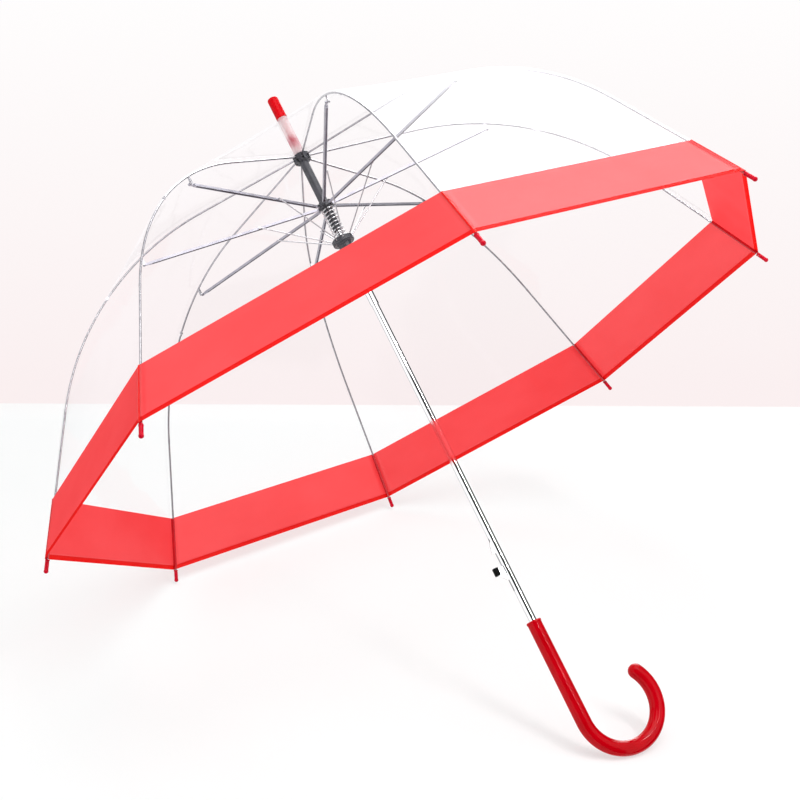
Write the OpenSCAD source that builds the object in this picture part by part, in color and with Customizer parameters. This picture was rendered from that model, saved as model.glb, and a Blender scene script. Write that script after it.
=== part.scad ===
// Bubble umbrella with a clear dome canopy, a coloured border and a crook handle.
// Upright: shaft along +Z, origin at the middle of the straight grip, crook towards +X.

/* [Ribs] */
// Number of ribs, stretchers, struts and gores
ribs = 8; // [8:1:8]
// Height of the crown's rib pivots above the middle of the grip
crown_z = 640; // [600:5:700]
// Radius of the ring of rib pivots in the crown
crown_pivot_r = 8; // [7.5:0.1:8.5]
// Slope of the rib where it leaves the crown, degrees below level
rib_root_angle = 8.5; // [6:0.5:11]
// Length of the straight inner stretch of a rib
rib_inner = 126; // [110:1:140]
// Radius of the bend in the middle of a rib
rib_bend_r = 302; // [280:1:320]
// Slope of the rib where it ends, degrees below level
rib_end_angle = 61.7; // [58:0.1:65]
// Length of the straight outer stretch of a rib
rib_outer = 172.1; // [160:0.1:190]
// Diameter of the rib wire
rib_d = 2.2; // [1.8:0.1:2.4]
// Slope of the rib at its folding joint, degrees below level
rib_fold_angle = 36; // [30:1:42]

/* [Stretchers and struts] */
// Distance from the shaft axis to the joint of stretcher and rib
stretcher_joint_r = 213; // [200:1:220]
// Drop from the crown pivots to the joint of stretcher and rib
stretcher_joint_drop = 50.5; // [48:0.5:54]
// Radius of the stretcher pivots in the upper hub
upper_pivot_r = 6.6; // [6.4:0.1:6.8]
// Drop from the crown pivots to the upper hub's pivots
upper_hub_drop = 66; // [60:1:72]
// Radius of the strut pivots in the lower hub
lower_pivot_r = 10.5; // [10.2:0.1:11]
// Drop from the crown pivots to the lower hub's pivots
lower_hub_drop = 110.7; // [105:0.1:118]
// Share of the stretcher's length at which the strut meets it
strut_share = 0.35; // [0.3:0.01:0.4]
// Width of the stretcher channel
channel_w = 3.2; // [2.6:0.1:3.2]
// Height of the stretcher channel
channel_h = 2.6; // [2.2:0.1:3]
// Diameter of the strut wire
strut_d = 1.4; // [1:0.1:1.4]

/* [Shaft and grip] */
// Diameter of the shaft
shaft_d = 8.3; // [8.3:0.1:8.3]
// Wall of the shaft tube
shaft_wall = 0.65; // [0.5:0.05:0.8]
// Height of the grip's upper end
grip_top = 57.5; // [50:0.5:60]
// Height at which the crook starts to bend
crook_start = -58; // [-65:1:-50]
// Diameter of the grip
grip_d = 15.7; // [14:0.1:18]
// Diameter of the grip where it bends into the crook
crook_d = 16.4; // [15:0.1:18]
// Bend radius of the crook's centre line
crook_r = 43.8; // [38:0.1:50]
// Sweep of the crook in degrees
crook_sweep = 213; // [180:1:230]

/* [Ferrule] */
// Diameter of the clear spike between crown and cap
spike_d = 12; // [10:0.2:13]
// Height of the cap's lower edge above the crown pivots
cap_rise = 54; // [45:1:60]
// Diameter of the cap
cap_d = 12.8; // [12:0.2:14]
// Length of the cap
cap_l = 28; // [24:1:32]

/* [Canopy] */
// Thickness of the canopy sheet
film_t = 0.8; // [0.6:0.1:1]
// Distance along the rib at which the border starts
border_start = 502.4; // [480:0.1:520]
// Distance along the rib at which the hem ends
hem_end = 566; // [560:0.1:567]

/* [Catch] */
// Height of the catch's pivot pin
catch_pivot_z = 98; // [96:0.5:100]
// Height of the nose's holding face
nose_z = 139; // [138:0.5:141]
// Distance from the axis to the tip of the nose
nose_reach = 7.4; // [7:0.1:10]
// Distance from the axis to the middle of the button
button_reach = 12.8; // [12:0.1:14]

/* [Hidden] */
$fn = 48;
step = 360 / ribs;
fit = 0.05;                 // running clearance on every pin
lane = -2.8;                // the stretchers run beside the ribs, not under them
upper_z = crown_z - upper_hub_drop;
lower_z = crown_z - lower_hub_drop;
shaft_r = shaft_d / 2;
skirt = 33.5;               // guide for the spring, which slides into the lower hub

// A rib's centre line in its own radial plane, as [distance from axis, height].
arc_c = [crown_pivot_r + rib_inner * cos(rib_root_angle) - rib_bend_r * sin(rib_root_angle),
         crown_z - rib_inner * sin(rib_root_angle) - rib_bend_r * cos(rib_root_angle)];
arc_len = rib_bend_r * (rib_end_angle - rib_root_angle) * PI / 180;
rib_len = rib_inner + arc_len + rib_outer;
function slope(s) = s < rib_inner ? rib_root_angle
  : s > rib_inner + arc_len ? rib_end_angle
  : rib_root_angle + (s - rib_inner) / rib_bend_r * 180 / PI;
function on_arc(a) = arc_c + rib_bend_r * [sin(a), cos(a)];
function along(s) = s < rib_inner
  ? [crown_pivot_r, crown_z] + s * [cos(rib_root_angle), -sin(rib_root_angle)]
  : s > rib_inner + arc_len
  ? on_arc(rib_end_angle) + (s - rib_inner - arc_len) * [cos(rib_end_angle), -sin(rib_end_angle)]
  : on_arc(slope(s));
function outside(s, d) = along(s) + d * [sin(slope(s)), cos(slope(s))];

crown_pivot = [crown_pivot_r, crown_z];
rib_joint = [stretcher_joint_r, crown_z - stretcher_joint_drop];
upper_pivot = [upper_pivot_r, upper_z];
lower_pivot = [lower_pivot_r, lower_z];
strut_joint = upper_pivot + strut_share * (rib_joint - upper_pivot);
fold = on_arc(rib_fold_angle);
joint_angle = asin((stretcher_joint_r - arc_c[0]) / rib_bend_r);
rib_over_joint = on_arc(joint_angle);

// Azimuth of rib i; the crook lies at azimuth 0, midway off the ribs.
function az(i) = step * i - 192;

// A round bar between two points of a radial plane.
module bar(a, b, r, spin = 0) {
  d = b - a;
  translate([a[0], 0, a[1]]) rotate([0, atan2(d[0], d[1]), 0]) rotate([0, 0, spin])
    cylinder(r = r, h = norm(d));
}
// A disc square to the radial plane, from y0 on.
module disc(p, r, t, y0) {
  translate([p[0], y0, p[1]]) rotate([-90, 0, 0]) cylinder(r = r, h = t);
}
// A flat tab between two points of a radial plane.
module tab(a, b, w, t, y0) {
  d = b - a;
  translate([a[0], y0, a[1]]) rotate([0, atan2(d[0], d[1]), 0])
    translate([-w / 2, 0, 0]) cube([w, t, norm(d)]);
}
module bent_bar(a1, a2, r) {
  translate([arc_c[0], 0, arc_c[1]]) rotate([90, 0, 0]) rotate([0, 0, 90 - a2])
    rotate_extrude(angle = a2 - a1, $fn = 96) translate([rib_bend_r, 0]) circle(r = r, $fn = 24);
}
// Crimp over the place where a straight wire meets the bend.
module crimp(s) {
  t = [cos(slope(s)), -sin(slope(s))];
  bar(along(s) - 1.5 * t, along(s) + 1.5 * t, rib_d / 2 + 0.15);
}
module ring(r, wire, z) {
  translate([0, 0, z]) rotate_extrude($fn = 96) translate([r, 0]) circle(r = wire, $fn = 24);
}

module shaft_tube() {
  color("silver") difference() {
    translate([0, 0, -48]) cylinder(r = shaft_r, h = crown_z + 3 + 48);
    translate([0, 0, -49]) cylinder(r = shaft_r - shaft_wall, h = crown_z + 60);
    // slot for the catch
    translate([-shaft_r - 1, -1.05, 94]) cube([shaft_r + 1, 2.1, 61]);
    translate([0, -6, catch_pivot_z]) rotate([-90, 0, 0]) cylinder(r = 0.82, h = 12);
  }
}

module crown() {
  color("dimgray") difference() {
    translate([0, 0, crown_z]) rotate_extrude($fn = 96)
      polygon([[4.2, -5.6], [9.1, -5.6], [9.8, -4.9], [9.8, 2.9], [9.1, 3.6], [4.2, 3.6]]);
    for (i = [1 : ribs]) rotate([0, 0, az(i)])
      translate([6.1, -1.3, crown_z - 7]) cube([6, 2.6, 9]);
    ring(crown_pivot_r, 0.43, crown_z);
  }
}

module crown_wire() {
  color("silver") ring(crown_pivot_r, 0.4, crown_z);
}

module stop_sleeve() {
  color("#2a2a30") difference() {
    translate([0, 0, upper_z + 5.4]) cylinder(r = 5.1, h = upper_hub_drop - 5.4 - 5.7);
    translate([0, 0, upper_z]) cylinder(r = 4.2, h = 90);
  }
}

module spike() {
  color("mistyrose") difference() {
    translate([0, 0, crown_z + 5.4]) cylinder(r = spike_d / 2, h = cap_rise - 5.5);
    translate([0, 0, crown_z]) cylinder(r = 3, h = 80);
  }
}

module ferrule_cap() {
  z = crown_z + cap_rise;
  r = cap_d / 2;
  color("red") union() {
    translate([0, 0, z]) rotate_extrude($fn = 96) union() {
      square([r, cap_l - 2.5]);
      square([r - 2.5, cap_l]);
      translate([r - 2.5, cap_l - 2.5]) circle(r = 2.5);
    }
    translate([0, 0, crown_z + 8]) cylinder(r = 2.8, h = cap_rise - 7);
  }
}

module handle() {
  r = grip_d / 2;
  b = crook_d / 2;
  end = crook_sweep - 180;
  color("crimson") difference() {
    union() {
      translate([0, 0, crook_start]) cylinder(r1 = b, r2 = r, h = grip_top - crook_start - 3);
      translate([0, 0, grip_top - 3]) rotate_extrude($fn = 48)
        polygon([[0, 0], [r + 0.1, 0], [r + 0.5, 0.5], [r + 0.5, 2.3], [r - 0.2, 3], [0, 3]]);
      translate([crook_r, 0, crook_start]) rotate([90, 0, 0]) rotate([0, 0, 180])
        rotate_extrude(angle = crook_sweep, $fn = 72) translate([crook_r, 0]) circle(r = b, $fn = 36);
      // rounded end, just proud of the last ring of the bend
      translate([crook_r + crook_r * cos(end) - 0.5 * sin(end), 0,
                 crook_start + crook_r * sin(end) + 0.5 * cos(end)]) sphere(r = b - 0.05, $fn = 36);
    }
    translate([0, 0, -50]) cylinder(r = 4.2, h = 120);
  }
}

module catch_pin() {
  color("gray") translate([0, -shaft_r, catch_pivot_z]) rotate([-90, 0, 0])
    cylinder(r = 0.8, h = shaft_d);
}

// Bent sheet lever: spine inside the shaft, nose above, arm out to the button.
module catch_lever() {
  z = catch_pivot_z;
  color("silver") difference() {
    union() {
      translate([0, 0.8, 0]) rotate([90, 0, 0]) linear_extrude(height = 1.6) polygon(
        [[1.4, z - 1.2], [-1.4, z - 1.2], [-4.0, z + 9], [-12.9, 115.6], [-12.9, 121],
         [-5.0, 122.4], [-4.1, 123.4], [-4.1, nose_z], [-nose_reach, nose_z],
               [-nose_reach, nose_z + 1.6], [-4.3, nose_z + 12.5], [-3.3, nose_z + 12.5],
               [-1.7, nose_z], [1.5, z + 2]]);
      disc([0, z], 2.2, 1.6, -0.8);
    }
    translate([0, -2, z]) rotate([-90, 0, 0]) cylinder(r = 0.8 + fit, h = 4);
  }
}

module catch_button() {
  r = 1.2;
  color("black") difference() {
    translate([-button_reach, 0, 119.3]) union() {
      for (x = [-1, 1], y = [-1, 1])
        translate([x * (2.7 - r), y * (3 - r), -4.3]) cylinder(r = r, h = 8.6);
      translate([-2.7, -3 + r, -4.3]) cube([5.4, 6 - 2 * r, 8.6]);
      translate([-2.7 + r, -3, -4.3]) cube([5.4 - 2 * r, 6, 8.6]);
    }
    // slot that the lever's arm is pressed into
    translate([-13.1, -0.83, 110]) cube([5, 1.66, 12]);
  }
}

// Octagonal sheet between two distances along the ribs, at a set distance outside them.
function sheet_profile(rings) = concat(
  [for (p = rings) p[0]],
  [for (k = [len(rings) - 1 : -1 : 0]) rings[k][1]]);
module octagon_sheet(rings) {
  profile = sheet_profile(rings);
  n = len(profile);
  points = [for (p = profile, i = [1 : ribs]) [p[0] * cos(az(i)), p[0] * sin(az(i)), p[1]]];
  faces = [for (j = [0 : n - 1], i = [0 : ribs - 1]) let (a = j * ribs, b = ((j + 1) % n) * ribs,
           k = (i + 1) % ribs) [a + i, b + i, b + k, a + k]];
  polyhedron(points = points, faces = faces, convexity = 6);
}

film_gap = 2.05;
module canopy_film() {
  stops = [20, 45, 80, 115, 145, 170, 195, 220, 245, 270, 300, 330, 360, 390, 420, 460, border_start - 0.1];
  rings = concat([[[5, crown_z + 4.3], [5, crown_z + 5.1]], [[12.5, crown_z + 4.3], [12.5, crown_z + 5.1]]],
    [for (s = stops) [outside(s, film_gap), outside(s, film_gap + film_t)]]);
  color([0.9, 0.93, 0.95, 0.3]) octagon_sheet(rings);
}
module border_band() {
  rings = [for (s = [border_start, hem_end]) [outside(s, film_gap), outside(s, film_gap + film_t)]];
  color([1, 0.3, 0.32, 0.85]) octagon_sheet(rings);
}

module upper_hub() {
  color("#26262c") union() {
    difference() {
      translate([0, 0, upper_z]) rotate_extrude($fn = 96)
        polygon([[shaft_r + fit, -skirt], [4.6, -skirt], [5, -skirt + 0.8], [5, -2.5], [8.4, -2.5], [9, -1.9],
                 [9, 4.2], [8.2, 5], [shaft_r + fit, 5]]);
      for (i = [1 : ribs]) rotate([0, 0, az(i)])
        translate([4.95, lane - 1.35, upper_z - 1.8]) cube([6, 2.7, 8]);
    }
    for (i = [1 : ribs]) rotate([0, 0, az(i)])
      translate([upper_pivot_r, lane - 1.9, upper_z]) rotate([-90, 0, 0]) cylinder(r = 0.6, h = 3.8);
  }
}

module lower_hub() {
  color("#26262c") difference() {
    translate([0, 0, lower_z]) rotate_extrude($fn = 96)
      polygon([[4.9, -46], [5.8, -46], [6.3, -45.5], [6.3, -14], [7.2, -14], [7.8, -13.4], [7.8, -6],
               [9.5, -4.6], [12, -4.6], [12.6, -4], [12.6, 1.1], [12.1, 1.6], [5.2, 1.6], [5.2, -36], [4.9, -36]]);
    for (i = [1 : ribs]) rotate([0, 0, az(i)])
      translate([8.7, -0.95, lower_z - 1.7]) cube([5, 1.9, 5]);
    ring(lower_pivot_r, 0.43, lower_z);
  }
}

// Tube that the lower hub is pressed on, with the window that the catch's nose enters
module runner_tube() {
  color("silver") difference() {
    translate([0, 0, lower_z - 86]) cylinder(r = 4.85, h = 49.9);
    translate([0, 0, lower_z - 90]) cylinder(r = shaft_r + fit, h = 100);
    translate([-8, -1.3, lower_z - 86 + 14.2]) cube([8, 2.6, 18]);
  }
}

module lower_hub_wire() {
  color("silver") ring(lower_pivot_r, 0.4, lower_z);
}

// Coil spring between the hubs, swept as rings of points along a helix.
module opening_spring() {
  turns = 6.5;
  per = 18;
  sides = 6;
  wire = 0.65;
  coil_r = 6.9;
  z0 = lower_z + 1.6 + 0.3 + wire;
  z1 = upper_z - 2.5 - 0.3 - wire;
  n = floor(turns * per);
  points = [for (k = [0 : n], j = [0 : sides - 1]) let (a = 360 * k / per, b = 360 * j / sides,
            r = coil_r + wire * cos(b)) [r * cos(a), r * sin(a), z0 + (z1 - z0) * k / n + wire * sin(b)]];
  faces = concat([[for (j = [0 : sides - 1]) j]],
    [for (k = [0 : n - 1], j = [0 : sides - 1]) let (a = k * sides, b = (k + 1) * sides,
     m = (j + 1) % sides) [a + j, b + j, b + m, a + m]],
    [[for (j = [sides - 1 : -1 : 0]) n * sides + j]]);
  color("silver") polyhedron(points = points, faces = faces, convexity = 8);
}

module rib_upper(i) {
  r = rib_d / 2;
  t = [cos(rib_fold_angle), -sin(rib_fold_angle)];
  color("#8a8a90") rotate([0, 0, az(i)]) difference() {
    union() {
      disc(crown_pivot, 1.7, 2, -1);
      bar(along(1), along(rib_inner - 0.2), r, 180);
      crimp(rib_inner);
      bent_bar(rib_root_angle + 0.05, rib_fold_angle - 0.55, r);
      // half-lap end of the folding joint, with its pin
      tab(fold - 4 * t, fold, 1.8, 0.9, 0.1);
      disc(fold, 1.7, 0.9, 0.1);
      disc(fold, 0.5, 1.7, -1);
      // clip that carries the stretcher's pin
      tab(rib_over_joint, rib_joint, 2.6, 1.8, -0.9);
      disc(rib_joint, 1.5, 1.8, -0.9);
      disc(rib_joint, 0.6, 4, -4);
    }
    disc(crown_pivot, 0.55, 4, -2);
  }
}

module rib_lower(i) {
  r = rib_d / 2;
  t = [cos(rib_fold_angle), -sin(rib_fold_angle)];
  color("#8a8a90") rotate([0, 0, az(i)]) difference() {
    union() {
      tab(fold, fold + 4 * t, 1.8, 0.9, -1);
      disc(fold, 1.7, 0.9, -1);
      bent_bar(rib_fold_angle + 0.55, rib_end_angle - 0.05, r);
      crimp(rib_inner + arc_len);
      bar(along(rib_inner + arc_len + 0.2), along(rib_len - 4), r);
    }
    disc(fold, 0.5 + fit, 4, -2);
  }
}

module rib_tip(i) {
  color("red") rotate([0, 0, az(i)]) difference() {
    union() {
      bar(along(hem_end + 2.6), along(rib_len), 2.2);
      translate([along(rib_len)[0], 0, along(rib_len)[1]]) sphere(r = 2.5);
    }
    bar(along(hem_end), along(rib_len - 3.9), rib_d / 2 + 0.03);
  }
}

module stretcher(i) {
  d = rib_joint - upper_pivot;
  u = d / norm(d);
  w = channel_w;
  h = channel_h;
  wall = 0.5;
  color("silver") rotate([0, 0, az(i)]) difference() {
    union() {
      disc(upper_pivot, 1.5, 2.2, lane - 1.1);
      tab(upper_pivot, upper_pivot + 8 * u, 2.2, 2.2, lane - 1.1);
      difference() {
        tab(upper_pivot + 5.7 * u, rib_joint - 5.7 * u, h, w, lane - w / 2);
        // open underside of the channel
        translate([upper_pivot[0], lane - w / 2 + wall, upper_pivot[1]])
          rotate([0, atan2(d[0], d[1]), 0]) translate([-h / 2 + wall, 0, 9])
          cube([h, w - 2 * wall, norm(d) - 18]);
      }
      tab(rib_joint - 8 * u, rib_joint, 2.2, 2.2, lane - 1.1);
      disc(rib_joint, 1.5, 2.2, lane - 1.1);
      // stub that carries the strut
      disc(strut_joint, 0.45, -lane - w / 2 + 1.2, lane + w / 2 - 0.4);
    }
    disc(upper_pivot, 0.6 + fit, 8, lane - 4);
    disc(rib_joint, 0.6 + fit, 8, lane - 4);
  }
}

module strut(i) {
  color("gainsboro") rotate([0, 0, az(i)]) difference() {
    union() {
      disc(lower_pivot, 1.3, 1.4, -0.7);
      bar(lower_pivot, strut_joint, strut_d / 2);
      disc(strut_joint, 1.3, 1.4, -0.7);
    }
    disc(lower_pivot, 0.5, 4, -2);
    disc(strut_joint, 0.45 + fit, 4, -2);
  }
}

shaft_tube();
crown();
crown_wire();
stop_sleeve();
spike();
ferrule_cap();
handle();
catch_pin();
catch_lever();
catch_button();
canopy_film();
border_band();
upper_hub();
lower_hub();
runner_tube();
lower_hub_wire();
opening_spring();
for (i = [1 : ribs]) {
  rib_upper(i);
  rib_lower(i);
  rib_tip(i);
  stretcher(i);
  strut(i);
}
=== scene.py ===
import math

import bpy
import numpy as np
from mathutils import Matrix, Vector

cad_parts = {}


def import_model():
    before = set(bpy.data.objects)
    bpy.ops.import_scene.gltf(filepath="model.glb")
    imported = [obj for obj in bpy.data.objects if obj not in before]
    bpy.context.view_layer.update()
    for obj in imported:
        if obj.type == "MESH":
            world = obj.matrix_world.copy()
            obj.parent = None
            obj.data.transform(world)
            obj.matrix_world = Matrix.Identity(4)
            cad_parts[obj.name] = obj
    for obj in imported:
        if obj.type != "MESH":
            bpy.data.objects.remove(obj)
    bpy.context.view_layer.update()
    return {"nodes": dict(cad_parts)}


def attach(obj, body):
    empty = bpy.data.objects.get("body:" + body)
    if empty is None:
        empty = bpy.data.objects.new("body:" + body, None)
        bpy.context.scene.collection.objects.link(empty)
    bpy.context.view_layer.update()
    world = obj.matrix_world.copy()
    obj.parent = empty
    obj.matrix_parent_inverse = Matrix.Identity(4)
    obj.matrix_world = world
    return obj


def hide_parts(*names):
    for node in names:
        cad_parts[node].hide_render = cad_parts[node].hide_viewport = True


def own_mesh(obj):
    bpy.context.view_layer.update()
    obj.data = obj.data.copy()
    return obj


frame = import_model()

NODES = frame["nodes"]
SCENE = bpy.context.scene

# ---------------------------------------------------------------- camera and stage

# Fitted to the photograph: the camera's place and axes, and the table's normal and one point.
CAMERA_AT = (-0.69106, -1.45297, -0.07126)
LENS_MM, SENSOR_MM = 68.604, 36
RIGHT = Vector((0.859513, -0.274892, -0.430896))
DOWN = Vector((-0.312562, 0.384347, -0.868667))
LOOK = Vector((0.404403, 0.881313, 0.244430))
FLOOR_UP = Vector((0.130328, -0.703186, 0.698959))
FLOOR_POINT = Vector((0.03499, 0.00552, -0.10676))

camera = bpy.data.objects.new("camera", bpy.data.cameras.new("camera"))
camera.data.lens = LENS_MM
camera.data.sensor_width = SENSOR_MM
camera.data.clip_start, camera.data.clip_end = 0.05, 60
turn = Matrix((RIGHT, -DOWN, -LOOK)).transposed().to_4x4()
camera.matrix_world = Matrix.Translation(CAMERA_AT) @ turn
SCENE.collection.objects.link(camera)
SCENE.camera = camera
SCENE.view_settings.view_transform = "Standard"


def mesh_object(name, points, faces, smooth=True):
    mesh = bpy.data.meshes.new(name)
    mesh.from_pydata([tuple(p) for p in points], [], [tuple(f) for f in faces])
    mesh.validate()
    mesh.polygons.foreach_set("use_smooth", [smooth] * len(mesh.polygons))
    made = bpy.data.objects.new(name, mesh)
    SCENE.collection.objects.link(made)
    return made


# ---------------------------------------------------------------- materials

class Nodes:
    """A small helper that adds nodes to one material's tree and links them by name."""

    def __init__(self, name):
        self.material = bpy.data.materials.new(name)
        self.material.use_nodes = True
        self.tree = self.material.node_tree
        self.tree.nodes.clear()
        self.out = self.tree.nodes.new("ShaderNodeOutputMaterial")

    def add(self, kind, inputs=None, **settings):
        node = self.tree.nodes.new("ShaderNode" + kind)
        for key, value in settings.items():
            setattr(node, key, value)
        for key, value in (inputs or {}).items():
            socket = node.inputs[key]
            if isinstance(value, bpy.types.NodeSocket):
                self.tree.links.new(value, socket)
            else:
                socket.default_value = value
        return node

    def noise(self, scale, detail=3.0, stretch=(1, 1, 1)):
        where = self.add("TexCoord").outputs["Object"]
        if stretch != (1, 1, 1):
            where = self.add("Mapping", {"Vector": where, "Scale": stretch}).outputs[0]
        texture = self.add("TexNoise", {"Vector": where, "Scale": scale, "Detail": detail})
        return texture.outputs["Fac"]

    def spread(self, value, low, high, start=0.3, end=0.7):
        mapped = self.add("MapRange", {"Value": value, "From Min": start, "From Max": end,
                                       "To Min": low, "To Max": high})
        return mapped.outputs["Result"]

    def tint(self, value, one, two):
        ramp = self.add("ValToRGB", {"Fac": value})
        ramp.color_ramp.elements[0].color = (*one, 1)
        ramp.color_ramp.elements[1].color = (*two, 1)
        ramp.color_ramp.elements[0].position = 0.3
        ramp.color_ramp.elements[1].position = 0.7
        return ramp.outputs["Color"]

    def bump(self, value, strength, distance):
        made = self.add("Bump", {"Height": value, "Strength": strength, "Distance": distance})
        return made.outputs[0]

    def calc(self, operation, one, two=None):
        inputs = {0: one} if two is None else {0: one, 1: two}
        return self.add("Math", inputs, operation=operation).outputs[0]

    def mix(self, share, one, two):
        """Shader one where share is 0 and shader two where it is 1."""
        return self.add("MixShader", {0: share, 1: one, 2: two}).outputs[0]

    def show(self, shader):
        self.tree.links.new(shader, self.out.inputs["Surface"])
        return self.material


FINE = 14            # how much finer the grain of a solid material is than its clouds
GRAIN_DEPTH = 2e-5   # metres


def solid(name, one, two, rough, metal=0.0, scale=60.0, stretch=(1, 1, 1), bump=0.1, **more):
    """An opaque material whose colour, roughness and surface vary gently.

    Further arguments are inputs of the Principled shader, with _ for each space.
    """
    n = Nodes(name)
    broad = n.noise(scale, 4.0, stretch)
    fine = n.noise(scale * FINE, 2.0, stretch)
    inputs = {
        "Base Color": n.tint(broad, one, two),
        "Roughness": n.spread(fine, rough[0], rough[1]),
        "Metallic": metal,
        "Normal": n.bump(fine, bump, GRAIN_DEPTH),
    }
    inputs.update({k.replace("_", " "): v for k, v in more.items()})
    return n.show(n.add("BsdfPrincipled", inputs).outputs[0])


def glancing(n, low, high, normal=None):
    """A share that rises from low, seen square on, to high, seen edge on."""
    inputs = {"Blend": 0.5}
    if normal is not None:
        inputs["Normal"] = normal
    facing = n.add("LayerWeight", inputs).outputs["Facing"]
    rise = n.calc("POWER", facing, 4.0)
    return n.add("MapRange", {"Value": rise, "To Min": low, "To Max": high}).outputs["Result"]


def clear_film(name, tint, low, high):
    """Thin clear PVC: what passes straight through, and a mirror sheen that rises at the edges."""
    n = Nodes(name)
    waves = n.noise(7.0, 2.0, (1, 1, 0.6))
    grain = n.noise(300.0, 2.0)
    normal = n.bump(waves, 0.25, 0.01)
    clear = n.add("BsdfTransparent", {"Color": (*tint, 1)})
    sheen = n.add("BsdfGlossy", {"Color": (0.93, 0.94, 0.96, 1), "Normal": normal,
                                 "Roughness": n.spread(grain, 0.04, 0.1)})
    share = glancing(n, low, high, normal)
    return n.show(n.mix(share, clear.outputs[0], sheen.outputs[0]))


def dyed_film(name, one, two, see_through, rough, shine=0.045):
    """Dyed PVC: frosted, lit through from behind, with a soft sheen."""
    n = Nodes(name)
    cloud = n.noise(14.0, 3.0, (1, 1, 2))
    grain = n.noise(900.0, 2.0)
    waves = n.noise(22.0, 2.0, (1, 1, 0.4))
    relief = n.calc("ADD", waves, n.calc("MULTIPLY", grain, 0.04))
    normal = n.bump(relief, 0.35, 0.002)
    colour = n.tint(cloud, one, two)
    face = n.add("BsdfPrincipled", {"Base Color": colour, "Roughness": 0.5,
                                    "Specular IOR Level": 0.0, "Normal": normal})
    glow = n.add("BsdfTranslucent", {"Color": colour, "Normal": normal})
    body = n.mix(0.5, face.outputs[0], glow.outputs[0])
    sheen = n.add("BsdfGlossy", {"Color": (1, 0.97, 0.97, 1), "Normal": normal,
                                 "Roughness": n.spread(grain, rough, rough + 0.1)})
    coated = n.mix(shine, body, sheen.outputs[0])
    clear = n.add("BsdfTransparent", {"Color": (*two, 1)})
    return n.show(n.mix(1 - see_through, clear.outputs[0], coated))


# name, the two colours it varies between, its range of roughness, metal, scale of its clouds
DRAWN = (1, 1, 0.3)      # clouds stretched along drawn wire
CHROME = solid("chrome", (0.86, 0.87, 0.89), (0.93, 0.93, 0.94), (0.03, 0.06), 1.0, 30,
               (1, 1, 0.05), 0.02)
NYLON = solid("black_nylon", (0.015, 0.015, 0.023), (0.038, 0.037, 0.052), (0.35, 0.5), 0.0, 180,
              bump=0.2)
WIRE = solid("bright_wire", (0.5, 0.5, 0.52), (0.7, 0.7, 0.72), (0.14, 0.26), 1.0, 220, DRAWN)
STRUT_WIRE = solid("strut_wire", (0.5, 0.49, 0.52), (0.64, 0.63, 0.66), (0.24, 0.36), 1.0, 220,
                   DRAWN)
RIB_WIRE = solid("rib_wire", (0.34, 0.33, 0.36), (0.5, 0.49, 0.52), (0.2, 0.34), 1.0, 150)
ZINC = solid("zinc_channel", (0.31, 0.3, 0.35), (0.42, 0.41, 0.47), (0.28, 0.42), 1.0, 120)
BUTTON = solid("button_black", (0.002, 0.002, 0.0025), (0.006, 0.006, 0.007), (0.4, 0.5), 0.0, 300,
               Specular_IOR_Level=0.04)
RED = solid("red_moulded", (0.48, 0.0, 0.004), (0.57, 0.0005, 0.007), (0.04, 0.08), 0.0, 40,
            bump=0.03, Specular_IOR_Level=0.12)
CAP_RED = solid("cap_red", (0.56, 0.0, 0.004), (0.66, 0.001, 0.006), (0.26, 0.36), 0.0, 90,
                bump=0.08, Specular_IOR_Level=0.08)
TIP_RED = solid("tip_red", (0.52, 0.0005, 0.014), (0.64, 0.001, 0.022), (0.2, 0.3), 0.0, 200,
                bump=0.08, Specular_IOR_Level=0.14)
CLEAR = clear_film("clear_film", (0.994, 0.993, 0.995), 0.022, 0.22)
BORDER = dyed_film("red_film", (0.97, 0.05, 0.056), (1.0, 0.064, 0.072), 0.02, 0.3)
HEM = dyed_film("red_hem", (0.82, 0.004, 0.003), (0.88, 0.008, 0.006), 0.02, 0.32, 0.014)
SEAM = solid("red_seam", (0.8, 0.006, 0.005), (0.88, 0.012, 0.01), (0.35, 0.45), 0.0, 260,
             Specular_IOR_Level=0.1)
POCKET = solid("red_pocket", (0.46, 0.005, 0.012), (0.58, 0.009, 0.018), (0.08, 0.14), 0.0, 120,
               bump=0.08, Specular_IOR_Level=0.9)

GLOW_Z = 0.6615          # height of the middle of the red glow in the spike


def acrylic():
    """Moulded clear plastic, milky, with the red of the cap's stem glowing in its lower half."""
    n = Nodes("clear_acrylic")
    height = n.add("SeparateXYZ", {0: n.add("TexCoord").outputs["Object"]}).outputs["Z"]
    cloud = n.noise(160.0, 2.0)
    away = n.calc("ABSOLUTE", n.calc("SUBTRACT", height, GLOW_Z))
    near = n.add("MapRange", {"Value": away, "From Min": 0.011, "From Max": 0.001,
                              "To Min": -0.12, "To Max": 0.62}, interpolation_type="SMOOTHSTEP")
    level = n.calc("ADD", near.outputs["Result"], n.spread(cloud, 0.0, 0.34))
    ramp = n.add("ValToRGB", {"Fac": level})
    ramp.color_ramp.elements[0].color = (0.98, 0.93, 0.935, 1)
    ramp.color_ramp.elements[1].color = (0.72, 0.08, 0.15, 1)
    milk = n.add("BsdfPrincipled", {"Base Color": ramp.outputs["Color"], "IOR": 1.49,
                                    "Roughness": n.spread(cloud, 0.08, 0.16)})
    glow = n.add("BsdfTranslucent", {"Color": ramp.outputs["Color"]})
    body = n.mix(0.5, milk.outputs[0], glow.outputs[0])
    clear = n.add("BsdfTransparent", {"Color": (1.0, 0.97, 0.975, 1)})
    return n.show(n.mix(0.62, clear.outputs[0], body))


ACRYLIC = acrylic()

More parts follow.
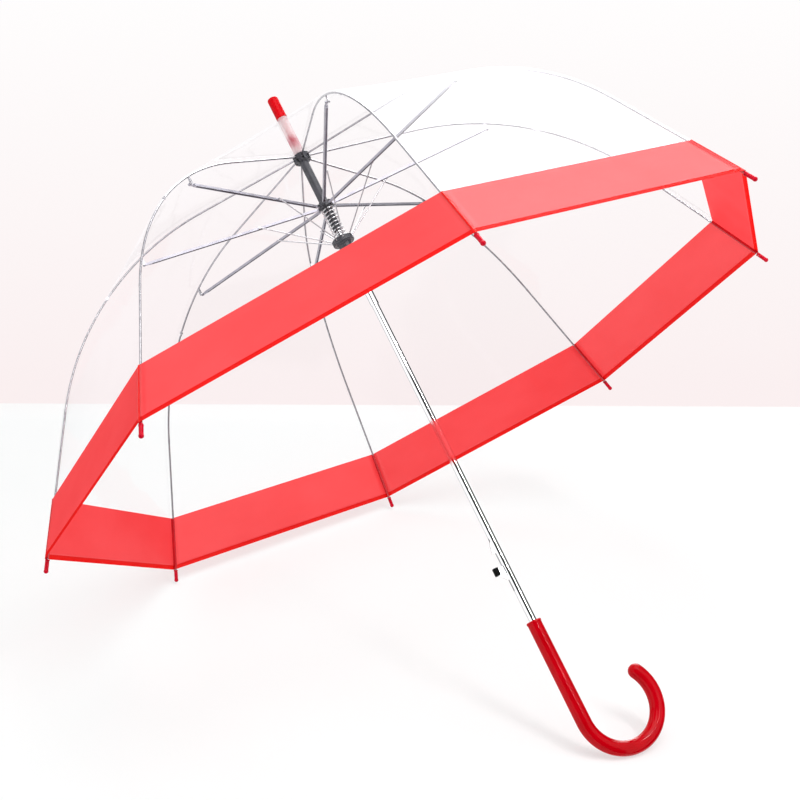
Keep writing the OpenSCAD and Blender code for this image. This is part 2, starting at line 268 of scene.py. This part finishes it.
LOOKS = {
    "shaft_tube": CHROME, "crown": NYLON, "crown_wire": WIRE, "stop_sleeve": NYLON,
    "spike": ACRYLIC, "ferrule_cap": CAP_RED, "handle": RED, "catch_pin": WIRE,
    "catch_lever": WIRE, "catch_button": BUTTON, "upper_hub": NYLON, "lower_hub": NYLON,
    "runner_tube": CHROME, "lower_hub_wire": WIRE,
}
# nodes whose names end in a rib's number
BY_KIND = {
    "rib_upper": RIB_WIRE, "rib_lower": RIB_WIRE, "rib_tip": TIP_RED,
    "stretcher": ZINC, "strut": STRUT_WIRE,
}
for name, node in NODES.items():
    look = LOOKS.get(name) or BY_KIND.get(name.rsplit("_", 1)[0])
    if look is not None:
        node.data.materials.clear()
        node.data.materials.append(look)

# ---------------------------------------------------------------- the ribs' curve, as in the CAD

RIBS = range(1, 9)
CROWN_Z, PIVOT_R = 0.640, 0.008     # the ribs' pivots in the crown
ROOT, END, FOLD = (math.radians(a) for a in (8.5, 61.7, 36.0))     # slopes below level
INNER, BEND_R = 0.126, 0.302        # length of the straight start, radius of the bend
ARC = BEND_R * (END - ROOT)
FOLD_S = INNER + BEND_R * (FOLD - ROOT)     # distances along a rib: its fold,
BORDER_S, HEM_S = 0.5024, 0.566             # the border's upper edge and its hem
FILM_OFF = 0.00245                  # the sheet's distance outside the rib's centre line
HALF = math.pi / 8                  # half the angle between two ribs
SAG = 0.010                         # how far a gore's middle pulls in, as a share of its radius
CENTRE = np.array([PIVOT_R + INNER * math.cos(ROOT) - BEND_R * math.sin(ROOT),
                   CROWN_Z - INNER * math.sin(ROOT) - BEND_R * math.cos(ROOT)])


def slope(s):
    """A rib's slope below level, at the distance s along it."""
    return float(np.clip(ROOT + (s - INNER) / BEND_R, ROOT, END))


def along(s):
    """A rib's centre line as (distance from the axis, height)."""
    if s < INNER:
        return np.array([PIVOT_R + s * math.cos(ROOT), CROWN_Z - s * math.sin(ROOT)])
    arc_point = CENTRE + BEND_R * np.array([math.sin(slope(s)), math.cos(slope(s))])
    over = max(0.0, s - INNER - ARC)
    return arc_point + over * np.array([math.cos(END), -math.sin(END)])


def outside(s, off):
    """A point of the sheet over a rib, as (distance from the axis, height)."""
    return along(s) + off * np.array([math.sin(slope(s)), math.cos(slope(s))])


def azimuth(i):
    """Rib i's direction round the shaft."""
    return math.radians(45 * i - 192)


def sheet_point(i, side, s, t, off=FILM_OFF):
    """A point of the canopy: t is 0 on rib i and 1 halfway to the next rib on that side."""
    r, z = outside(s, off)
    a, b = azimuth(i), azimuth(i) + side * HALF
    rib = np.array([math.cos(a) * r, math.sin(a) * r])
    inward = r * math.cos(HALF) * (1 - SAG * math.sin(math.pi * min(1.0, s / BORDER_S)))
    middle = np.array([math.cos(b) * inward, math.sin(b) * inward])
    flat = rib + (middle - rib) * t
    pull = (r * math.cos(HALF) - inward) * (t * (2 - t) - t)
    flat = flat - np.array([math.cos(b), math.sin(b)]) * pull
    return np.array([flat[0], flat[1], z])


def grid(name, i, side, stops, across, off=lambda s, t: FILM_OFF):
    """Half a gore as a grid of points: stops along the rib, across from the rib to the middle."""
    points = [sheet_point(i, side, s, t, off(s, t)) for s in stops for t in across]
    n = len(across)
    order = (0, 1, n + 1, n) if side > 0 else (0, n, n + 1, 1)
    faces = [[j * n + k + o for o in order] for j in range(len(stops) - 1) for k in range(n - 1)]
    return mesh_object(name, points, faces)


def settle(obj, body, node):
    """One panel rides on its rib, with a mesh of its own, in place of the hidden node."""
    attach(obj, body)
    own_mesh(obj)
    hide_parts(node)


UPPER_STOPS = [0.006, 0.012, 0.02, 0.032, 0.046] + list(np.linspace(0.062, FOLD_S, 18))
LOWER_STOPS = list(np.linspace(FOLD_S, BORDER_S, 20))
HEM_TOP_S = 0.5608       # the hem's upper edge, between two close stops
BAND_STOPS = list(np.linspace(BORDER_S, 0.559, 9)) + [0.5607, 0.5609, 0.5633, HEM_S]
ACROSS = list(np.linspace(0, 1, 13))
SEAM_T = 0.009           # share of a half gore's width that the seam over the rib takes
BAND_ACROSS = [0, SEAM_T, 0.0105] + list(np.linspace(0.06, 1, 11))
LAP = 0.0004             # how far the hem and the seam stand proud
BORDER_SLOT, HEM_SLOT, SEAM_SLOT = 0, 1, 2


def band_off(s, t):
    return FILM_OFF + (LAP if s > HEM_TOP_S or t < 0.01 else 0.0)


def film(name, i, side, stops):
    made = grid(name, i, side, stops, ACROSS)
    made.data.materials.append(CLEAR)
    return made


def border(name, i, side):
    """Half a red panel, with its hem below and half of the seam over the rib."""
    made = grid(name, i, side, BAND_STOPS, BAND_ACROSS, band_off)
    for look in (BORDER, HEM, SEAM):
        made.data.materials.append(look)
    cells = [(s, t) for s in BAND_STOPS[:-1] for t in BAND_ACROSS[:-1]]
    for polygon, (s, t) in zip(made.data.polygons, cells):
        on_hem = s > HEM_TOP_S - 0.0002
        polygon.material_index = SEAM_SLOT if t < SEAM_T else HEM_SLOT if on_hem else BORDER_SLOT
    return made


for i in RIBS:
    for side, word in ((-1, "a"), (1, "b")):
        tag = f"{i}{word}"
        settle(film(f"film_upper_{tag}", i, side, UPPER_STOPS), f"rib_arm_{i}",
               "canopy_film")
        settle(film(f"film_lower_{tag}", i, side, LOWER_STOPS), f"rib_end_{i}",
               "canopy_film")
        settle(border(f"border_{tag}", i, side), f"rib_end_{i}",
               "border_band")

# ---------------------------------------------------------------- pockets and loops on the border


POCKET_HALF, POCKET_DEEP, POCKET_LIP = 0.0016, 0.0014, 0.0021


def pocket(i):
    """The welded channel that the rib's straight end lies in, on the inside of the border."""
    a = azimuth(i)
    out = np.array([math.cos(a), math.sin(a), 0])
    side = np.array([-math.sin(a), math.cos(a), 0])
    points, faces, count = [], [], 14
    stops = list(np.linspace(BORDER_S + 0.0005, HEM_S - 0.0008, 17))
    for s in stops:
        r, z = along(s)
        normal = out * math.sin(slope(s)) + np.array([0, 0, math.cos(slope(s))])
        middle = out * r + np.array([0, 0, z])
        pinch = 1.0 if 0.002 < s - BORDER_S < 0.061 else 0.86
        for k in range(count + 1):
            b = math.pi * (k / count - 0.5)
            wide = POCKET_HALF * math.sin(b) * pinch
            deep = POCKET_DEEP * math.cos(b) * pinch
            lift = POCKET_LIP * abs(math.sin(b)) ** 6
            points.append(middle + side * wide - normal * (deep - lift))
    n = count + 1
    for j in range(len(stops) - 1):
        for k in range(count):
            faces.append((j * n + k, (j + 1) * n + k, (j + 1) * n + k + 1, j * n + k + 1))
    made = mesh_object(f"rib_pocket_{i}", points, faces)
    made.data.materials.append(POCKET)
    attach(made, f"rib_end_{i}")


def tube(name, path, radius, sides):
    """A round tube along a list of points, closed at both ends."""
    count, points, faces = len(path), [], []
    for k, p in enumerate(path):
        before = path[max(k - 1, 0)]
        after = path[min(k + 1, count - 1)]
        tangent = (after - before).normalized()
        u = tangent.orthogonal() if k == 0 else u - tangent * u.dot(tangent)
        u = u.normalized()
        v = tangent.cross(u)
        for m in range(sides):
            b = 2 * math.pi * m / sides
            points.append(p + (u * math.cos(b) + v * math.sin(b)) * radius)
    for k in range(count - 1):
        for m in range(sides):
            a, b, c = k * sides, (k + 1) * sides, (m + 1) % sides
            faces.append((a + m, b + m, b + c, a + c))
    last = (count - 1) * sides
    faces += [tuple(reversed(range(sides))), tuple(last + m for m in range(sides))]
    return mesh_object(name, points, faces)


LOOP_TURNS, LOOP_STEPS = 2.5, 60
LOOP_R, LOOP_LONG, THREAD_R = 0.0018, 0.0018, 0.00062


def hem_loop(i):
    """The stitched loop at the hem's corner, wound round the wire above the tip."""
    a = azimuth(i)
    out, side = Vector((math.cos(a), math.sin(a), 0)), Vector((-math.sin(a), math.cos(a), 0))
    t = out * math.cos(END) - Vector((0, 0, math.sin(END)))
    normal = out * math.sin(END) + Vector((0, 0, math.cos(END)))
    r, z = along(HEM_S + 0.0003)
    start = out * r + Vector((0, 0, z))
    path = []
    for k in range(LOOP_STEPS + 1):
        b = 2 * math.pi * LOOP_TURNS * k / LOOP_STEPS
        reach = LOOP_R + 0.0001 * math.sin(3 * b)
        along_wire = start + t * (LOOP_LONG * k / LOOP_STEPS)
        path.append(along_wire + side * reach * math.cos(b) + normal * reach * math.sin(b))
    made = tube(f"hem_loop_{i}", path, THREAD_R, 8)
    made.data.materials.append(TIP_RED)
    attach(made, f"rib_end_{i}")


for i in RIBS:
    pocket(i)
    hem_loop(i)

# ---------------------------------------------------------------- crown rosette and opening spring


def revolve(name, profile, count=96):
    """A profile of (distance from the shaft's axis, height) turned once round the axis."""
    points, faces, n = [], [], len(profile)
    for k in range(count):
        a = 2 * math.pi * k / count
        points += [(r * math.cos(a), r * math.sin(a), z) for r, z in profile]
    for k in range(count):
        b = (k + 1) % count
        faces += [(k * n + j, b * n + j, b * n + j + 1, k * n + j + 1) for j in range(n - 1)]
    return mesh_object(name, points, faces)


ROSETTE = [(0.0062, 0.6447), (0.0095, 0.64475), (0.0125, 0.6446), (0.0155, 0.6441)]
rosette = revolve("film_rosette", ROSETTE)
rosette.data.materials.append(CLEAR)
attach(rosette, "frame")
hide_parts("canopy_film")


CLOSED_TURNS, CLOSED_PITCH = 0.75, 0.35      # at each end of the spring; pitch as a share


def coil(name, low, high, turns, radius, wire, per=36, sides=12):
    """A compression spring with its end coils closed, as one closed tube."""
    points, faces, count = [], [], int(turns * per)
    closed = CLOSED_TURNS * per
    whole = closed * 2 * CLOSED_PITCH + (count - 2 * closed)
    for k in range(count + 1):
        first = min(k, closed) * CLOSED_PITCH
        open_part = max(0.0, min(k, count - closed) - closed)
        last = max(0.0, k - count + closed) * CLOSED_PITCH
        ease = first + open_part + last
        z = low + wire + (high - low - 2 * wire) * ease / whole
        a = 2 * math.pi * k / per
        for m in range(sides):
            b = 2 * math.pi * m / sides
            r = radius + wire * math.cos(b)
            points.append((r * math.cos(a), r * math.sin(a), z + wire * math.sin(b)))
    for k in range(count):
        for m in range(sides):
            n = (m + 1) % sides
            faces.append((k * sides + m, (k + 1) * sides + m, (k + 1) * sides + n, k * sides + n))
    faces.append(tuple(range(sides)))
    faces.append(tuple(count * sides + m for m in reversed(range(sides))))
    return mesh_object(name, points, faces)


spring_low, spring_high = 0.5310, 0.5714
SPRING_TURNS, SPRING_R, SPRING_WIRE_R = 9.5, 0.0069, 0.0008
spring = coil("opening_coil", spring_low, spring_high, SPRING_TURNS, SPRING_R, SPRING_WIRE_R)
spring.data.materials.append(WIRE)
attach(spring, "upper_runner")
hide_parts("opening_spring")
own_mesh(spring)

# ---------------------------------------------------------------- floor and light


def stage_material(name, low, high, matt, rise):
    """A pale surface that glows from one colour at the floor to another at the height called rise.
    The change is painted shade, darker and pinker near the bend where the table meets the wall.

    It is see-through from behind, so it never hides the object.
    """
    n = Nodes(name)
    where = n.add("TexCoord").outputs["Object"]
    up = n.add("VectorMath", {0: where, 1: tuple(FLOOR_UP)}, operation="DOT_PRODUCT")
    level = FLOOR_POINT.dot(FLOOR_UP)
    height = n.add("MapRange", {"Value": up.outputs["Value"], "From Min": level,
                                "From Max": level + rise})
    glow = n.add("ValToRGB", {"Fac": height.outputs["Result"]})
    glow.color_ramp.elements[0].color = (*low, 1)
    glow.color_ramp.elements[1].color = (*high, 1)
    cloud = n.noise(1.5, 2.0)
    one = (matt, matt * 0.985, matt * 0.985)
    two = (matt * 1.04, matt * 1.03, matt * 1.03)
    pale = n.add("BsdfPrincipled", {
        "Base Color": n.tint(cloud, one, two), "Roughness": 0.7, "Specular IOR Level": 0.0,
        "Emission Color": glow.outputs["Color"], "Emission Strength": 1.0})
    behind = n.add("NewGeometry").outputs["Backfacing"]
    clear = n.add("BsdfTransparent")
    return n.show(n.mix(behind, pale.outputs[0], clear.outputs[0]))


def backdrop():
    """The table and the wall behind it, as two sheets that meet in a soft bend."""
    ahead = (LOOK - FLOOR_UP * LOOK.dot(FLOOR_UP)).normalized()
    across = ahead.cross(FLOOR_UP)
    foot = camera.matrix_world.translation.copy()
    foot -= FLOOR_UP * (foot - FLOOR_POINT).dot(FLOOR_UP)
    bend, reach, half_width = 0.05, 2.176, 3.5     # reach is the wall's distance from the camera
    table = [(-3.0, 0.0), (0.0, 0.0), (1.0, 0.0), (1.6, 0.0), (reach - bend, 0.0)]
    curve = [(reach - bend + bend * math.sin(a), bend - bend * math.cos(a))
             for a in np.linspace(0, math.pi / 2, 9)]
    wall = [(reach, 0.3), (reach, 0.8), (reach, 1.6), (reach, 3.2)]
    # the glow colours below are painted shade: darker and pinker by the bend, lighter up the wall
    for name, rows, look in (
            ("table", table + curve[1:5],
             stage_material("pale_table", (0.56, 0.58, 0.58), (0.54, 0.51, 0.51), 0.4, 0.05)),
            ("wall", curve[4:] + wall,
             stage_material("pale_wall", (0.93, 0.835, 0.838), (0.97, 0.965, 0.965), 0.03, 0.68))):
        points, faces, count = [], [], 6
        for out, up in rows:
            for k in range(count + 1):
                place = foot + ahead * out + FLOOR_UP * up
                points.append(place + across * (2 * k / count - 1) * half_width)
        for j in range(len(rows) - 1):
            for k in range(count):
                a = j * (count + 1) + k
                faces.append((a, a + 1, a + count + 2, a + count + 1))
        made = mesh_object(name, points, faces)
        if made.data.polygons[0].normal.dot(FLOOR_UP if name == "table" else -ahead) < 0:
            made.data.flip_normals()
        made.data.materials.append(look)
        made.visible_glossy = False
        made.visible_diffuse = made.visible_shadow = name == "table"


backdrop()


def area_light(name, where, target, size, power, colour=(1, 1, 1)):
    data = bpy.data.lights.new(name, "AREA")
    data.shape, data.size, data.size_y = "RECTANGLE", size[0], size[1]
    data.energy, data.color = power, colour
    lamp = bpy.data.objects.new(name, data)
    aim = (Vector(target) - Vector(where)).to_track_quat("-Z", "Z")
    lamp.matrix_world = Matrix.Translation(where) @ aim.to_matrix().to_4x4()
    SCENE.collection.objects.link(lamp)


MIDDLE = Vector((0, 0, 0.35))
WARM = (1.0, 0.99, 0.98)
area_light("key", MIDDLE + FLOOR_UP * 2.2 - LOOK * 0.5, MIDDLE, (1.8, 1.8), 35, WARM)
area_light("strip", Vector((0.36, -0.88, 0.24)) * 1.9, Vector((0, 0, 0.1)), (0.06, 1.0), 10)


GLARE_POWER = 6.0        # how much brighter the soft box is than the white panels


def world():
    """White panels with dark gaps round the horizon, which give the chrome its lines.

    The camera sees a plain pale colour instead, and only mirror rays see the broad soft box.
    """
    made = bpy.data.worlds.new("studio")
    made.use_nodes = True
    tree = made.node_tree
    tree.nodes.clear()

    def add(kind, **settings):
        node = tree.nodes.new("ShaderNode" + kind)
        for key, value in settings.items():
            setattr(node, key, value)
        return node

    coords = add("TexCoord")
    parts = add("SeparateXYZ")
    tree.links.new(coords.outputs["Generated"], parts.inputs[0])
    angle = add("Math", operation="ARCTAN2")
    tree.links.new(parts.outputs["Y"], angle.inputs[0])
    tree.links.new(parts.outputs["X"], angle.inputs[1])
    share = add("MapRange")
    share.inputs["From Min"].default_value = -math.pi
    share.inputs["From Max"].default_value = math.pi
    tree.links.new(angle.outputs[0], share.inputs["Value"])
    ramp = add("ValToRGB")
    white, grey, dark = (1.2, 1.19, 1.19, 1), (0.3, 0.3, 0.31, 1), (0.02, 0.02, 0.022, 1)
    # places round the horizon, from 0 to 1
    stops = [(0.0, white), (0.11, white), (0.125, dark), (0.27, dark), (0.285, white),
             (0.4, white), (0.415, dark), (0.57, dark), (0.585, white), (0.775, white),
             (0.785, grey), (0.855, grey), (0.865, white), (1.0, white)]
    while len(ramp.color_ramp.elements) < len(stops):
        ramp.color_ramp.elements.new(0.5)
    for element, (position, colour) in zip(ramp.color_ramp.elements, stops):
        element.position, element.color = position, colour
    tree.links.new(share.outputs["Result"], ramp.inputs["Fac"])

    def between(value, low, high, soft):
        """One inside the range from low to high, and nought outside it, with soft edges."""
        rise = add("MapRange", interpolation_type="SMOOTHSTEP")
        fall = add("MapRange", interpolation_type="SMOOTHSTEP")
        for node, start, end in ((rise, low, low + soft), (fall, high, high - soft)):
            node.inputs["From Min"].default_value = start
            node.inputs["From Max"].default_value = end
            tree.links.new(value, node.inputs["Value"])
        return times(rise.outputs["Result"], fall.outputs["Result"])

    def times(one, two):
        node = add("Math", operation="MULTIPLY")
        for socket, value in zip(node.inputs, (one, two)):
            if isinstance(value, float):
                socket.default_value = value
            else:
                tree.links.new(value, socket)
        return node.outputs[0]

    # a broad soft box, up and to the right, that only mirror sheen shows
    path = add("LightPath")
    box = times(between(share.outputs["Result"], 0.43, 0.675, 0.035),
                between(parts.outputs["Z"], 0.4, 0.97, 0.1))
    glare = times(box, path.outputs["Is Glossy Ray"])
    power = add("Math", operation="ADD")
    power.inputs[1].default_value = 1.0
    tree.links.new(times(glare, GLARE_POWER), power.inputs[0])
    lit = add("Mix", data_type="RGBA")
    tree.links.new(glare, lit.inputs["Factor"])
    tree.links.new(ramp.outputs["Color"], lit.inputs["A"])
    lit.inputs["B"].default_value = (1.0, 1.0, 1.0, 1)
    mix = add("Mix", data_type="RGBA")
    tree.links.new(path.outputs["Is Camera Ray"], mix.inputs["Factor"])
    tree.links.new(lit.outputs["Result"], mix.inputs["A"])
    mix.inputs["B"].default_value = (1.0, 0.975, 0.98, 1)
    background = add("Background")
    tree.links.new(power.outputs[0], background.inputs["Strength"])
    tree.links.new(mix.outputs["Result"], background.inputs["Color"])
    out = add("OutputWorld")
    tree.links.new(background.outputs[0], out.inputs["Surface"])
    SCENE.world = made


world()
